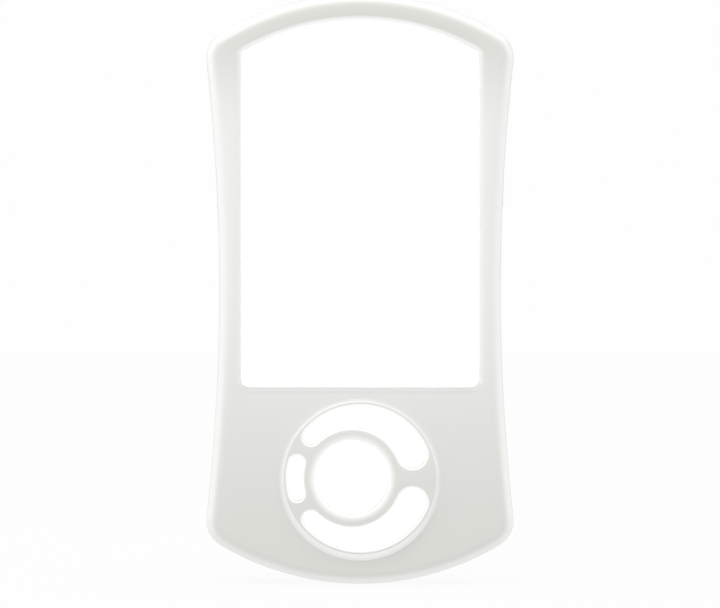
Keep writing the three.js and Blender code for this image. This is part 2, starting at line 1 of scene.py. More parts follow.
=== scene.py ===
"""A pocket digital audio player, with its white front cover, lit screen and lit keys.

Shapes are drawn lying on their back in millimetres: x to the right, y towards the top of the
display, h from the flat back towards the face. upright() turns a point into the row frame.
"""

import math

import bmesh
import bpy
import numpy as np
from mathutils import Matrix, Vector
from mathutils.geometry import delaunay_2d_cdt


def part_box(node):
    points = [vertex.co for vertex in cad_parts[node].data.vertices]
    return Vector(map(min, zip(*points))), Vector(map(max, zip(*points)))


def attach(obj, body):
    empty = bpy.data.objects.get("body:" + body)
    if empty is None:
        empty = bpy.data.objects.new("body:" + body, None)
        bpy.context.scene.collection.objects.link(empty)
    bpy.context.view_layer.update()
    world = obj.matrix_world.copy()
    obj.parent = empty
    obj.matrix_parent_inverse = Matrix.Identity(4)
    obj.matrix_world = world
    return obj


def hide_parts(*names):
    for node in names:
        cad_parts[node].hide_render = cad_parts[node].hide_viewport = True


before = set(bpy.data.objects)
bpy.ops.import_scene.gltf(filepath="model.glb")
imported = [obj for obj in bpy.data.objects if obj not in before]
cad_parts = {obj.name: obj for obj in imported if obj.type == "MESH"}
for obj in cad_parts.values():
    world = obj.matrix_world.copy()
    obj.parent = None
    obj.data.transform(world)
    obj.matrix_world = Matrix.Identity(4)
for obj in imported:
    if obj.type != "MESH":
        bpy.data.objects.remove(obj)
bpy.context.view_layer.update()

# ---- Driving dimensions, in millimetres ---------------------------------------------------------

MM = 0.001

# The case's outline: concave sides, bowed ends and round corners.
HEIGHT = 109.6
WAIST = 52.3
SIDE_RADIUS = 375
END_RADIUS = 50.5
CORNER_RADIUS = 5.5

# Heights above the flat back.
REAR_FLOOR = 1.2  # inside of the rear cover
REAR_SEAM = 2.3  # between the rear cover and the frame
FRONT_SEAM = 8.67  # between the frame and the front cover
COVER_UNDERSIDE = 10.6
FACE = 13  # the front cover's face at the middle of the player
CROWN_RADIUS = 1500  # the face bends towards both ends on this radius

# Walls and rounded edges; rims are given as width and depth.
COVER_WALL = 1.5
SEAM_ROUND = 0.12
FRONT_RIM = (2.65, 3.0)
REAR_RIM = (3, 2)

# The window, and its rolled lip (width and depth).
WINDOW = {"half_width": 22.1, "bottom": -18.2, "top": 49.8, "top_radius": 44}
WINDOW_CORNERS = {"top": 1, "bottom": 1.5}
WINDOW_LIP = (1.25, 1.1)

# The raised round pad. Its flank slopes at 45 degrees.
PAD_Y = -34.9
PAD_TOP = 13.2  # height
PAD_FLAT = 13.95  # radius of the flat top
PAD_ROUND = 0.25  # rounding from the top onto the flank
PAD_FILLET = 0.3  # width of the fillet from the flank's foot onto the face
PAD_REACH = 16.4  # a radius beyond the flank's foot all round
FLANK_TOP = PAD_FLAT + PAD_ROUND * (math.sqrt(2) - 1)  # where the slope reaches the pad's height

# The pad's openings: a round one left of the middle, bowed ones with swollen ends, and a slot.
RING_OUTER = 13.4  # radius of the outer edge, about the pad's middle
HUB_X = -1.45
HUB_HOLE = 6.85  # radius of the round opening
HUB_RING = 9.2  # radius of the inner edge, about the round opening's middle
ARC_END = math.radians(135)
SLOT_END = math.radians(164.2)
BULB_RADIUS = 2.75
BULB_ANGLE = math.radians(25)
PAD_LIP = (0.5, 0.5)  # width and depth of the rolled lips
HUB_LIP = (1.3, 0.5)

# Front keys.
KEY_GAP = 0.2
KEY_FLANGE = (0.6, 7.55, 8.3)  # how far it stands out, and its heights
KEY_TOP = 13.35
KEY_ROUND = (0.75, 0.5)
KEY_DISH = 0.35

# Volume keys: margins of the bar inside the CAD key's flange, the drawn flange and rounded edge.
SIDE_KEY = {"margin_y": 0.6, "margin_h": 0.5, "corner": 0.7}
SIDE_FLANGE = {"width": 0.5, "thickness": 0.7}
SIDE_KEY_ROUND = (0.6, 0.45)

# Hold slider: its pad and grooves, then half lengths and corner radius of neck, fork and slot.
HOLD_PAD = {"thickness": 0.65, "corner": 0.5, "edge": 0.25}
HOLD_GROOVES = {"depth": 0.2, "pitch": 0.85, "fade_y": 0.1, "fade_h": 0.3}
HOLD_NECK = (1.6, 0.65, 0.2)
HOLD_FORK = (2.2, 1.1, 0.2)
HOLD_SLOT = (0.6, 0.8, 0.1)
FORK_DEPTH = 0.8
FORK_FLOOR = 0.1

# Case screws: heights and radii, the head's dome (inset and drop) and the cross recess.
SCREW = {"head": 0.9, "shank": 0.8, "chamfer": 0.3}
SCREW_DOME = ((0.55, 0), (0.25, 0.05), (0.08, 0.2), (0, 0.45))
CROSS = {"reach": 0.85, "half_width": 0.19, "depth": 0.5, "draft": 0.08}

# Screw holes of the rear cover: through bore, counterbore, its mouth (how much wider, at which
# depth) and the boss round it.
BORE_RADIUS = 1
COUNTERBORE = {"wider": 0.75, "depth": 1.4}
COUNTERBORE_MOUTH = ((0.2, 0), (0.05, 0.04), (0, 0.12))
BOSS_RADIUS = 2.6

# Tabs inside the front cover's wall: their middles, how far they reach, half lengths and height.
TABS = ((25.2, 22), (25.2, -22), (-25.2, 22), (-25.2, -22), (0, 53.2), (0, -53.2))
TAB = {"reach": 0.45, "side": 2, "end": 3, "height": 1.2, "edge": 0.1}

# Spacing of points: along outlines, in large faces, in the dished key and across the grooves.
LOOP_STEP = 0.5
GRID_STEP = 2.2
DISH_STEP = 0.8
GROOVE_STEP = 0.11
RIM_STEPS = 12
PAD_POINTS = 360
SAME_POINT = 1e-5  # outline points closer than this count as one
WELD = 1e-4  # vertices closer than this are joined

# ---- Looks --------------------------------------------------------------------------------------

# The cover's plastic, painted shade on flat faces away from the waist and on its rim seen edge-on.
COVER_COLORS = ((0.75, 0.752, 0.736), (0.738, 0.741, 0.722))
COVER_PAINTED_SHADE = (0.616, 0.622, 0.585)
FACING_FRONT = (-0.7, -0.98)  # y of the normal where the painted shade starts and where it is full
PAINTED_SHADE_LOW = (8 * MM, -52 * MM)  # heights where the painted shade starts and is full, down and up
PAINTED_SHADE_LOW_SHARE = 0.9
PAINTED_SHADE_HIGH = (28 * MM, 50 * MM)
EDGE_ON = (0.68, 1.0)  # how edge-on the rim is seen where its painted shade starts and is darkest
EDGE_PAINTED_SHADE = (0.42, 0.42, 0.42)

# Painted light and shade on the lips of openings and on the pad's flank: 1 is palest, -1 darkest.
LIP_LIGHT_AND_SHADE = "lip"
LIP_PAINTED_LIGHT = (0.9, 0.9, 0.89)
LIP_PAINTED_SHADE = (0.2, 0.2, 0.19)
LIP_SIDE = 0.15  # the window's lip at its sides
LIP_FOOT = -0.4  # and at its lower edge
LIP_FADE = (0.9, 0.4)  # the upper lip's painted light comes in between these distances from the opening
FLANK_UP = 0.25  # the pad's flank where it looks upwards
FLANK_DOWN = 0.85  # and where it looks down
FLANK_RISE = 0.02  # the flank starts this far above the face

# The tent's fill light and soft boxes (1 is plain white), and how narrow the boxes are.
PAPER_WHITE = 0.991
TENT = {"fill": 0.78, "left": 1.25, "right": 1.45, "above": 1.8, "focus": 6.0}

# Floor, lamp and camera: places and sizes in metres, power in watts, lens in millimetres. The
# floor's glow is what the camera sees, its bounce is the light it gives the player, and shadow is
# how much of the light on it shows.
FLOOR = {"glow": 0.925, "shadow": 0.045, "bounce": 1.04, "half_width": 2.0, "gap": 0.02 * MM}
LAMP = {"place": (-0.17, -0.2, 0.3), "size": 0.12, "power": 0.3}
CAMERA = {"lens": 120, "distance": 443 * MM, "height": -2.77 * MM}


def upright(x, y, h):
    """A point of the lying player, in metres in the frame of the standing one."""
    return (x * MM, -h * MM, y * MM)


# ---- Outlines -----------------------------------------------------------------------------------


def arc(cx, cy, radius, start, end, grow=0.0):
    """Points of an arc; grow changes its radius but not how many points it has."""
    count = max(2, math.ceil(abs(radius * (end - start)) / LOOP_STEP))
    angles = np.linspace(start, end, count + 1)[:-1]
    size = radius + grow
    return np.column_stack([cx + size * np.cos(angles), cy + size * np.sin(angles)])


def line(start, end):
    """Points from start up to, but not including, end."""
    start, end = np.array(start, float), np.array(end, float)
    count = max(1, round(float(np.linalg.norm(end - start)) / LOOP_STEP))
    return start + np.linspace(0, 1, count + 1)[:-1, None] * (end - start)


def case_corner():
    """Centre of the upper right corner's arc, which touches the end arc and the side arc."""
    side_centre = WAIST / 2 + SIDE_RADIUS
    end_centre = HEIGHT / 2 - END_RADIUS
    from_end = END_RADIUS - CORNER_RADIUS
    from_side = SIDE_RADIUS + CORNER_RADIUS
    apart = math.hypot(side_centre, end_centre)
    along = (from_end**2 - from_side**2 + apart**2) / (2 * apart)
    across = math.sqrt(from_end**2 - along**2)
    tx, ty = side_centre / apart, -end_centre / apart
    return along * tx - across * ty, end_centre + along * ty + across * tx


def case_outline(inset=0.0):
    """The case's outline, moved inwards by inset, counter-clockwise from the right side's foot."""
    side_centre = WAIST / 2 + SIDE_RADIUS
    end_centre = HEIGHT / 2 - END_RADIUS
    x, y = case_corner()
    side = math.atan2(y, side_centre - x)
    end = math.atan2(y - end_centre, x)
    pi = math.pi
    return np.vstack(
        [
            arc(side_centre, 0, SIDE_RADIUS, pi + side, pi - side, inset),
            arc(x, y, CORNER_RADIUS, -side, end, -inset),
            arc(0, end_centre, END_RADIUS, end, pi - end, -inset),
            arc(-x, y, CORNER_RADIUS, pi - end, pi + side, -inset),
            arc(-side_centre, 0, SIDE_RADIUS, side, -side, inset),
            arc(-x, -y, CORNER_RADIUS, pi - side, pi + end, -inset),
            arc(0, -end_centre, END_RADIUS, pi + end, 2 * pi - end, -inset),
            arc(x, -y, CORNER_RADIUS, -end, side, -inset),
        ]
    )


def window_outline(grow=0.0):
    """The display window's outline, moved outwards by grow."""
    centre_y = WINDOW["top"] - WINDOW["top_radius"]
    top, bottom = WINDOW_CORNERS["top"], WINDOW_CORNERS["bottom"]
    inner_x = WINDOW["half_width"] - top
    inner_y = centre_y + math.sqrt((WINDOW["top_radius"] - top) ** 2 - inner_x**2)
    angle = math.atan2(inner_y - centre_y, inner_x)
    low_x, low_y = WINDOW["half_width"] - bottom, WINDOW["bottom"] + bottom
    edge = WINDOW["half_width"] + grow
    low = WINDOW["bottom"] - grow
    pi = math.pi
    return np.vstack(
        [
            line((-low_x, low), (low_x, low)),
            arc(low_x, low_y, bottom, -pi / 2, 0, grow),
            line((edge, low_y), (edge, inner_y)),
            arc(inner_x, inner_y, top, 0, angle, grow),
            arc(0, centre_y, WINDOW["top_radius"], angle, pi - angle, grow),
            arc(-inner_x, inner_y, top, pi - angle, pi, grow),
            line((-edge, inner_y), (-edge, low_y)),
            arc(-low_x, low_y, bottom, pi, 1.5 * pi, grow),
        ]
    )


def ring_end(angle):
    """(x, y, radius) of the round end between the pad's two edges; y is from the pad's centre."""
    lean = HUB_X * math.cos(angle)
    spare = RING_OUTER**2 - HUB_RING**2 - HUB_X**2 - 2 * lean * HUB_RING
    radius = spare / (2 * (lean + HUB_RING + RING_OUTER))
    reach = HUB_RING + radius
    return HUB_X + reach * math.cos(angle), reach * math.sin(angle), radius


def arc_outline(grow=0.0):
    """The upper bowed opening: outer edge, round left end, the hub's edge, swollen right end."""
    x, y, radius = ring_end(ARC_END)
    from_pad = math.atan2(y, x)
    reach = RING_OUTER - BULB_RADIUS
    bulb_x, bulb_y = reach * math.cos(BULB_ANGLE), reach * math.sin(BULB_ANGLE)
    apart = math.hypot(bulb_x - HUB_X, bulb_y)
    tangent = math.atan2(bulb_y, bulb_x - HUB_X)
    tangent += math.acos((HUB_RING + BULB_RADIUS) / apart)
    pi = math.pi
    bulb = arc(bulb_x, PAD_Y + bulb_y, BULB_RADIUS, tangent + pi, BULB_ANGLE + 2 * pi, grow)
    return np.vstack(
        [
            arc(0, PAD_Y, RING_OUTER, BULB_ANGLE, from_pad, grow),
            arc(x, PAD_Y + y, radius, from_pad, ARC_END + pi, grow),
            arc(HUB_X, PAD_Y, HUB_RING, ARC_END, tangent, -grow),
            bulb,
        ]
    )


def lower_arc_outline(grow=0.0):
    """The lower bowed opening is the upper one turned over."""
    points = arc_outline(grow)[::-1].copy()
    points[:, 1] = 2 * PAD_Y - points[:, 1]
    return points


def slot_outline(grow=0.0):
    """The slot left of the round opening: the pad's edge, the hub's edge and two round ends."""
    x, y, radius = ring_end(SLOT_END)
    from_pad = math.atan2(y, x)
    full = 2 * math.pi
    low = full - SLOT_END
    return np.vstack(
        [
            arc(0, PAD_Y, RING_OUTER, from_pad, full - from_pad, grow),
            arc(x, PAD_Y - y, radius, full - from_pad, low + math.pi, grow),
            arc(HUB_X, PAD_Y, HUB_RING, low, SLOT_END, -grow),
            arc(x, PAD_Y + y, radius, SLOT_END - math.pi, from_pad, grow),
        ]
    )


def circle(cx, cy, radius):
    """An outline function for a circle."""
    return lambda grow=0.0: arc(cx, cy, radius, 0, 2 * math.pi, grow)


def rounded_rectangle(half_x, half_y, radius):
    """An outline function for a rectangle with round corners, about the origin."""

    def outline(grow=0.0):
        x, y = half_x - radius, half_y - radius
        quarter = math.pi / 2
        corners = [(x, -y), (x, y), (-x, y), (-x, -y)]
        parts = []
        for i, (cx, cy) in enumerate(corners):
            turn = (i - 1) * quarter
            parts.append(arc(cx, cy, radius, turn, turn + quarter, grow))
            done = np.array([math.cos(turn + quarter), math.sin(turn + quarter)])
            here = np.array([cx, cy]) + (radius + grow) * done
            there = np.array(corners[(i + 1) % 4]) + (radius + grow) * done
            parts.append(line(here, there))
        return np.vstack(parts)

    return outline


def cross_outline(reach, half_width):
    """An outline function for a screwdriver's cross."""

    def outline(grow=0.0):
        r, w = reach + grow, half_width + grow
        corner = [(r, -w), (r, w), (w, w), (w, r), (-w, r), (-w, w)]
        return np.array(corner + [(-px, -py) for px, py in corner], float)

    return outline


KEY_OUTLINES = {
    "centre": circle(HUB_X, PAD_Y, HUB_HOLE),
    "up": arc_outline,
    "down": lower_arc_outline,
    "back": slot_outline,
}


# ---- Shells -------------------------------------------------------------------------------------


def inside(points, loop):
    """Which points lie inside a closed loop."""
    x, y = points[:, 0][:, None], points[:, 1][:, None]
    ax, ay = loop[:, 0], loop[:, 1]
    bx, by = np.roll(ax, -1), np.roll(ay, -1)
    crosses = (ay > y) != (by > y)
    at = ax + (y - ay) / np.where(by == ay, 1e-12, by - ay) * (bx - ax)
    return (crosses & (x < at)).sum(1) % 2 == 1


def within(points, loops):
    """Which points lie inside the first loop and outside the others."""
    keep = inside(points, loops[0])
    for loop in loops[1:]:
        keep &= ~inside(points, loop)
    return keep


def clearance(points, loop):
    """Distance from each point to the nearest point of a loop."""
    return np.sqrt(((points[:, None] - loop[None]) ** 2).sum(2).min(1))


def grid_within(loops, step):
    """Points of a square grid that lie between the loops and clear of them."""
    low, high = loops[0].min(0), loops[0].max(0)
    axes = [np.arange(a + step / 2, b, step) for a, b in zip(low, high)]
    spots = np.array(np.meshgrid(*axes)).reshape(2, -1).T
    nearest = np.min([clearance(spots, loop) for loop in loops], axis=0)
    return spots[within(spots, loops) & (nearest > step / 2)]


def rounding(size, steps=7):
    """Offsets outwards and drops of a quarter ellipse, from the wall below up to the face."""
    width, depth = size
    angles = np.linspace(0, math.pi / 2, steps + 1)
    return [(width * (1 - math.cos(a)), depth * (1 - math.sin(a))) for a in angles]


def add_object(name, data):
    """Adds an object to the scene."""
    obj = bpy.data.objects.new(name, data)
    bpy.context.scene.collection.objects.link(obj)
    return obj


class Shell:
    """A closed surface made of rings, strips between them and flat regions that end them."""

    def __init__(self):
        self.points = []
        self.faces = []

    def ring(self, loop, height):
        """Adds a loop of points; height is a number or a function of x and y."""
        first = len(self.points)
        for x, y in loop:
            self.points.append((x, y, height(x, y) if callable(height) else height))
        return list(range(first, len(self.points)))

    def strip(self, low, high):
        """Joins two rings of equal length with four-sided faces."""
        count = len(low)
        for i in range(count):
            j = (i + 1) % count
            self.faces.append((low[i], low[j], high[j], high[i]))

    def stack(self, outline, steps):
        """Rings of one outline, from (offset, height) pairs; returns the first and last ring."""
        rings = [self.ring(outline(offset), height) for offset, height in steps]
        for low, high in zip(rings, rings[1:]):
            self.strip(low, high)
        return rings[0], rings[-1]

    def region(self, outer, holes=(), height=None, step=GRID_STEP):
        """Fills the space between rings with triangles, over a grid when height is given."""
        rings = [outer, *holes]
        loops = [np.array([self.points[i][:2] for i in ring]) for ring in rings]
        indices = [i for ring in rings for i in ring]
        coords = np.vstack(loops)
        edges = []
        for loop in loops:
            start, count = len(edges), len(loop)
            edges += [(start + i, start + (i + 1) % count) for i in range(count)]
        if height is not None:
            spots = grid_within(loops, step)
            indices += self.ring(spots, height)
            coords = np.vstack([coords, spots])
        flat = [Vector(c) for c in coords]
        made = delaunay_2d_cdt(flat, edges, [], 1, SAME_POINT, True)
        placed = np.array([tuple(v) for v in made[0]])
        triangles = np.array(made[2])
        source = [indices[ids[0]] for ids in made[3]]
        for triangle in triangles[within(placed[triangles].mean(1), loops)]:
            self.faces.append(tuple(source[i] for i in triangle))

    def build(self, name, body, material, place=upright, sharp=40):
        """Makes the Blender object and lets it ride on a body."""
        mesh = bpy.data.meshes.new(name)
        mesh.from_pydata([place(*p) for p in self.points], [], self.faces)
        bm = bmesh.new()
        bm.from_mesh(mesh)
        bmesh.ops.remove_doubles(bm, verts=bm.verts, dist=WELD * MM)
        bmesh.ops.recalc_face_normals(bm, faces=bm.faces)
        bm.to_mesh(mesh)
        bm.free()
        mesh.shade_smooth()
        mesh.set_sharp_from_angle(angle=math.radians(sharp))
        mesh.materials.append(material)
        obj = add_object(name, mesh)
        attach(obj, body)
        return obj


# ---- Materials ----------------------------------------------------------------------------------

# Fineness of each kind of variation, in cells per metre.
CELLS = {
    "flow": 60,
    "sheen": 220,
    "glow": 150,
    "brushing": 1400,
    "metal_tone": 300,
    "screen": 40,
    "window_tint": 30,
    "smear": 90,
}
BUMP_DEPTH = 0.02  # of a moulded grain
BRUSH_DEPTH = 0.01


def new_material(name, color, roughness, metallic=0.0):
    """A material with a Principled shader; returns it with its node tree and shader."""
    material = bpy.data.materials.new(name)
    material.use_nodes = True
    tree = material.node_tree
    shader = tree.nodes["Principled BSDF"]
    shader.inputs["Base Color"].default_value = (*color, 1)
    shader.inputs["Roughness"].default_value = roughness
    shader.inputs["Metallic"].default_value = metallic
    return material, tree, shader


def noise(tree, scale, detail=3.0, stretch=(1, 1, 1)):
    """A noise texture over the object's own coordinates; scale is in cells per metre."""
    coords = tree.nodes.new("ShaderNodeTexCoord")
    mapping = tree.nodes.new("ShaderNodeMapping")
    mapping.inputs["Scale"].default_value = stretch
    texture = tree.nodes.new("ShaderNodeTexNoise")
    texture.inputs["Scale"].default_value = scale
    texture.inputs["Detail"].default_value = detail
    tree.links.new(coords.outputs["Object"], mapping.inputs["Vector"])
    tree.links.new(mapping.outputs["Vector"], texture.inputs["Vector"])
    return texture.outputs["Fac"]


def between(tree, value, low, high):
    """Maps a 0 to 1 value onto low to high."""
    ramp = tree.nodes.new("ShaderNodeMapRange")
    ramp.inputs["To Min"].default_value = low
    ramp.inputs["To Max"].default_value = high
    tree.links.new(value, ramp.inputs["Value"])
    return ramp.outputs["Result"]


def blend_colors(tree, value, first, second):
    """Mixes two plain colours by a 0 to 1 value."""
    mix = tree.nodes.new("ShaderNodeMix")
    mix.data_type = "RGBA"
    mix.inputs["A"].default_value = (*first, 1)
    mix.inputs["B"].default_value = (*second, 1)
    tree.links.new(value, mix.inputs["Factor"])
    return mix.outputs["Result"]


def add_bump(tree, shader, value, strength, depth_mm):
    """Lets a 0 to 1 value raise the surface by up to a depth."""
    bump = tree.nodes.new("ShaderNodeBump")
    bump.inputs["Strength"].default_value = strength
    bump.inputs["Distance"].default_value = depth_mm * MM
    tree.links.new(value, bump.inputs["Height"])
    tree.links.new(bump.outputs["Normal"], shader.inputs["Normal"])


def moulded_plastic(name, color, shade, roughness, grain_mm=0.12, bump=0.12, glow=0.0):
    """Moulded plastic: faint flow variation in its colour, uneven sheen and a fine grain."""
    material, tree, shader = new_material(name, color, roughness)
    flow = noise(tree, CELLS["flow"], 4, (1, 1, 0.35))
    tree.links.new(blend_colors(tree, flow, color, shade), shader.inputs["Base Color"])
    sheen = noise(tree, CELLS["sheen"], 3)
    rough = between(tree, sheen, roughness - 0.05, roughness + 0.06)
    tree.links.new(rough, shader.inputs["Roughness"])
    grain = noise(tree, 1 / (grain_mm * MM), 2)
    add_bump(tree, shader, grain, bump, BUMP_DEPTH)
    if glow:
        shader.inputs["Emission Color"].default_value = (1, 1, 1, 1)
        light = between(tree, noise(tree, CELLS["glow"], 2), glow * 0.95, glow * 1.05)
        tree.links.new(light, shader.inputs["Emission Strength"])
    return material


def paint_cover_light_and_shade(material):
    """Painted shade away from the waist and where seen edge-on; painted light and shade on marked
    lips.
    """
    tree = material.node_tree
    nodes, links = tree.nodes, tree.links
    shader = nodes["Principled BSDF"]
    coords = nodes.new("ShaderNodeTexCoord")
    place = nodes.new("ShaderNodeSeparateXYZ")
    links.new(coords.outputs["Object"], place.inputs["Vector"])
    geometry = nodes.new("ShaderNodeNewGeometry")
    facing = nodes.new("ShaderNodeSeparateXYZ")
    links.new(geometry.outputs["Normal"], facing.inputs["Vector"])
    lips = nodes.new("ShaderNodeAttribute")
    lips.attribute_name = LIP_LIGHT_AND_SHADE

    def smooth(value, reach, amounts=(0.0, 1.0)):
        ramp = nodes.new("ShaderNodeMapRange")
        ramp.interpolation_type = "SMOOTHSTEP"
        ramp.inputs["From Min"].default_value = reach[0]
        ramp.inputs["From Max"].default_value = reach[1]
        ramp.inputs["To Min"].default_value = amounts[0]
        ramp.inputs["To Max"].default_value = amounts[1]
        links.new(value, ramp.inputs["Value"])
        return ramp.outputs["Result"]

    def combine(operation, first, second):
        node = nodes.new("ShaderNodeMath")
        node.operation = operation
        links.new(first, node.inputs[0])
        links.new(second, node.inputs[1])
        return node.outputs[0]

    def tinted(plain, color, amount):
        mix = nodes.new("ShaderNodeMix")
        mix.data_type = "RGBA"
        mix.inputs["B"].default_value = (*color, 1)
        links.new(plain, mix.inputs["A"])
        links.new(amount, mix.inputs["Factor"])
        return mix.outputs["Result"]

    # Painted shade on flat faces towards both ends, where less light falls.
    low = smooth(place.outputs["Z"], PAINTED_SHADE_LOW, (0.0, PAINTED_SHADE_LOW_SHARE))
    high = smooth(place.outputs["Z"], PAINTED_SHADE_HIGH)
    flat = smooth(facing.outputs["Y"], FACING_FRONT)
    # Painted shade on the rim where it is seen edge-on, away from the marked lips.
    weight = nodes.new("ShaderNodeLayerWeight")
    weight.inputs["Blend"].default_value = 0.5
    outer = smooth(lips.outputs["Fac"], (1.0, 0.0))
    edge = combine("MULTIPLY", smooth(weight.outputs["Facing"], EDGE_ON), outer)
    plain = shader.inputs["Base Color"].links[0].from_socket
    color = tinted(plain, COVER_PAINTED_SHADE, combine("MULTIPLY", combine("ADD", low, high), flat))
    # Painted light on the marked lips and flank, and painted shade where the mark is below zero.
    color = tinted(color, LIP_PAINTED_LIGHT, lips.outputs["Fac"])
    darker = nodes.new("ShaderNodeMapRange")
    darker.inputs["From Max"].default_value = -1.0
    links.new(lips.outputs["Fac"], darker.inputs["Value"])
    color = tinted(color, LIP_PAINTED_SHADE, darker.outputs["Result"])
    color = tinted(color, EDGE_PAINTED_SHADE, edge)
    links.new(color, shader.inputs["Base Color"])


def brushed_metal(name, color, roughness=0.32, stretch=(1, 1, 12)):
    """Metal with fine lines along one direction."""
    material, tree, shader = new_material(name, color, roughness, 1.0)
    lines = noise(tree, CELLS["brushing"], 2, stretch)
    rough = between(tree, lines, roughness - 0.08, roughness + 0.1)
    tree.links.new(rough, shader.inputs["Roughness"])
    tone = noise(tree, CELLS["metal_tone"], 2)
    darker = tuple(c * 0.85 for c in color)
    tree.links.new(blend_colors(tree, tone, color, darker), shader.inputs["Base Color"])
    add_bump(tree, shader, lines, 0.1, BRUSH_DEPTH)
    return material


def lit_screen(name, pitch_mm=0.14, glow=1.2, spill=0.25):
    """A lit blank display: white, with the faint grid between its pixels."""
    material, tree, shader = new_material(name, (0.9, 0.9, 0.9), 0.35)
    coords = tree.nodes.new("ShaderNodeTexCoord")
    bricks = tree.nodes.new("ShaderNodeTexBrick")
    bricks.offset = 0.0
    bricks.inputs["Color1"].default_value = (1, 1, 1, 1)
    bricks.inputs["Color2"].default_value = (0.99, 1, 1, 1)
    bricks.inputs["Mortar"].default_value = (0.9, 0.92, 0.92, 1)
    bricks.inputs["Scale"].default_value = 1 / (pitch_mm * MM)
    bricks.inputs["Mortar Size"].default_value = 0.05
    bricks.inputs["Brick Width"].default_value = 1.0
    bricks.inputs["Row Height"].default_value = 1.0
    turn = tree.nodes.new("ShaderNodeVectorRotate")
    turn.rotation_type = "X_AXIS"
    turn.inputs["Angle"].default_value = -math.pi / 2
    tree.links.new(coords.outputs["Object"], turn.inputs["Vector"])
    tree.links.new(turn.outputs["Vector"], bricks.inputs["Vector"])
    tree.links.new(bricks.outputs["Color"], shader.inputs["Emission Color"])
    path = tree.nodes.new("ShaderNodeLightPath")
    share = between(tree, path.outputs["Is Camera Ray"], spill, 1.0)
    light = tree.nodes.new("ShaderNodeMath")
    light.operation = "MULTIPLY"
    uneven = between(tree, noise(tree, CELLS["screen"], 2), glow * 0.97, glow * 1.03)
    tree.links.new(uneven, light.inputs[0])
    tree.links.new(share, light.inputs[1])
    tree.links.new(light.outputs[0], shader.inputs["Emission Strength"])
    return material


def clear_window(name):
    """A clear hard-coated window: light goes straight through, with a faint reflection."""
    material = bpy.data.materials.new(name)
    material.use_nodes = True
    tree = material.node_tree
    tree.nodes.remove(tree.nodes["Principled BSDF"])
    clear = tree.nodes.new("ShaderNodeBsdfTransparent")
    clouds = noise(tree, CELLS["window_tint"], 2)
    tint = blend_colors(tree, clouds, (0.985, 0.99, 0.99), (0.97, 0.98, 0.98))
    tree.links.new(tint, clear.inputs["Color"])
    gloss = tree.nodes.new("ShaderNodeBsdfGlossy")
    smear = between(tree, noise(tree, CELLS["smear"], 4), 0.03, 0.09)
    tree.links.new(smear, gloss.inputs["Roughness"])
    facing = tree.nodes.new("ShaderNodeLayerWeight")
    facing.inputs["Blend"].default_value = 0.5
    grazing = tree.nodes.new("ShaderNodeMath")
    grazing.operation = "POWER"
    grazing.inputs[1].default_value = 5.0
    tree.links.new(facing.outputs["Facing"], grazing.inputs[0])
    mix = tree.nodes.new("ShaderNodeMixShader")
    tree.links.new(between(tree, grazing.outputs[0], 0.02, 0.7), mix.inputs["Fac"])
    tree.links.new(clear.outputs["BSDF"], mix.inputs[1])
    tree.links.new(gloss.outputs["BSDF"], mix.inputs[2])
    output = tree.nodes["Material Output"]
    tree.links.new(mix.outputs["Shader"], output.inputs["Surface"])
    return material


COVER_PLASTIC = moulded_plastic("cover_plastic", *COVER_COLORS, 0.33)
# Painted light and shade on the cover's plastic.
paint_cover_light_and_shade(COVER_PLASTIC)
FRAME_PLASTIC = moulded_plastic("frame_plastic", (0.56, 0.57, 0.57), (0.53, 0.54, 0.55), 0.42)
KEY_PLASTIC = moulded_plastic("key_plastic", (0.93, 0.93, 0.92), (0.91, 0.91, 0.9), 0.32, glow=0.4)
SIDE_KEY_PLASTIC = moulded_plastic("side_key_plastic", (0.8, 0.8, 0.78), (0.77, 0.77, 0.76), 0.35)
MASK_FILM = moulded_plastic("mask_film", (0.94, 0.94, 0.94), (0.92, 0.92, 0.92), 0.5, glow=0.7)
BLACK_PLASTIC = moulded_plastic("black_plastic", (0.03, 0.03, 0.032), (0.05, 0.05, 0.05), 0.5)
FOAM = moulded_plastic("foam", (0.05, 0.05, 0.055), (0.08, 0.08, 0.08), 0.9, 0.3, 0.6)
BOARD = moulded_plastic("board", (0.02, 0.14, 0.06), (0.03, 0.2, 0.09), 0.4, 0.5, 0.3)
RED_WIRE = moulded_plastic("red_wire", (0.55, 0.03, 0.02), (0.45, 0.02, 0.02), 0.45)
RIBBON = moulded_plastic("ribbon", (0.6, 0.28, 0.05), (0.5, 0.22, 0.04), 0.3)
STEEL = brushed_metal("steel", (0.62, 0.63, 0.65))
FOIL = brushed_metal("foil", (0.72, 0.74, 0.77), 0.4, (12, 1, 1))
SCREEN = lit_screen("screen")
WINDOW_CLEAR = clear_window("window_clear")

NODE_MATERIALS = {
    "mid_frame": FRAME_PLASTIC,
    "display_window": WINDOW_CLEAR,
    "window_mask": MASK_FILM,
    "display_panel": SCREEN,
    "backlight_panel": MASK_FILM,
    "display_cable": RIBBON,
    "main_board": BOARD,
    "battery": FOIL,
    "battery_pad": FOAM,
    "battery_lead_red": RED_WIRE,
    "battery_connector": SIDE_KEY_PLASTIC,
    "hold_slider": SIDE_KEY_PLASTIC,
}
STEEL_WORDS = ("tray", "shield", "usb", "screw", "switch")


def dress_cad_nodes():
    """Gives every CAD node its material; only edges of more than 30 degrees stay sharp."""
    for name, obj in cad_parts.items():
        is_steel = any(word in name for word in STEEL_WORDS)
        material = NODE_MATERIALS.get(name, STEEL if is_steel else BLACK_PLASTIC)
        obj.data.materials.clear()
        obj.data.materials.append(material)
        obj.data.set_sharp_from_angle(angle=math.radians(30))


# ---- Pieces -------------------------------------------------------------------------------------


def lying_box(node):
    """A CAD node's lowest and highest corners as it lies on its back: x, y and h in millimetres."""
    low, high = (np.array(corner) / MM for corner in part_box(node))
    return np.array([low[0], low[2], -high[1]]), np.array([high[0], high[2], -low[1]])


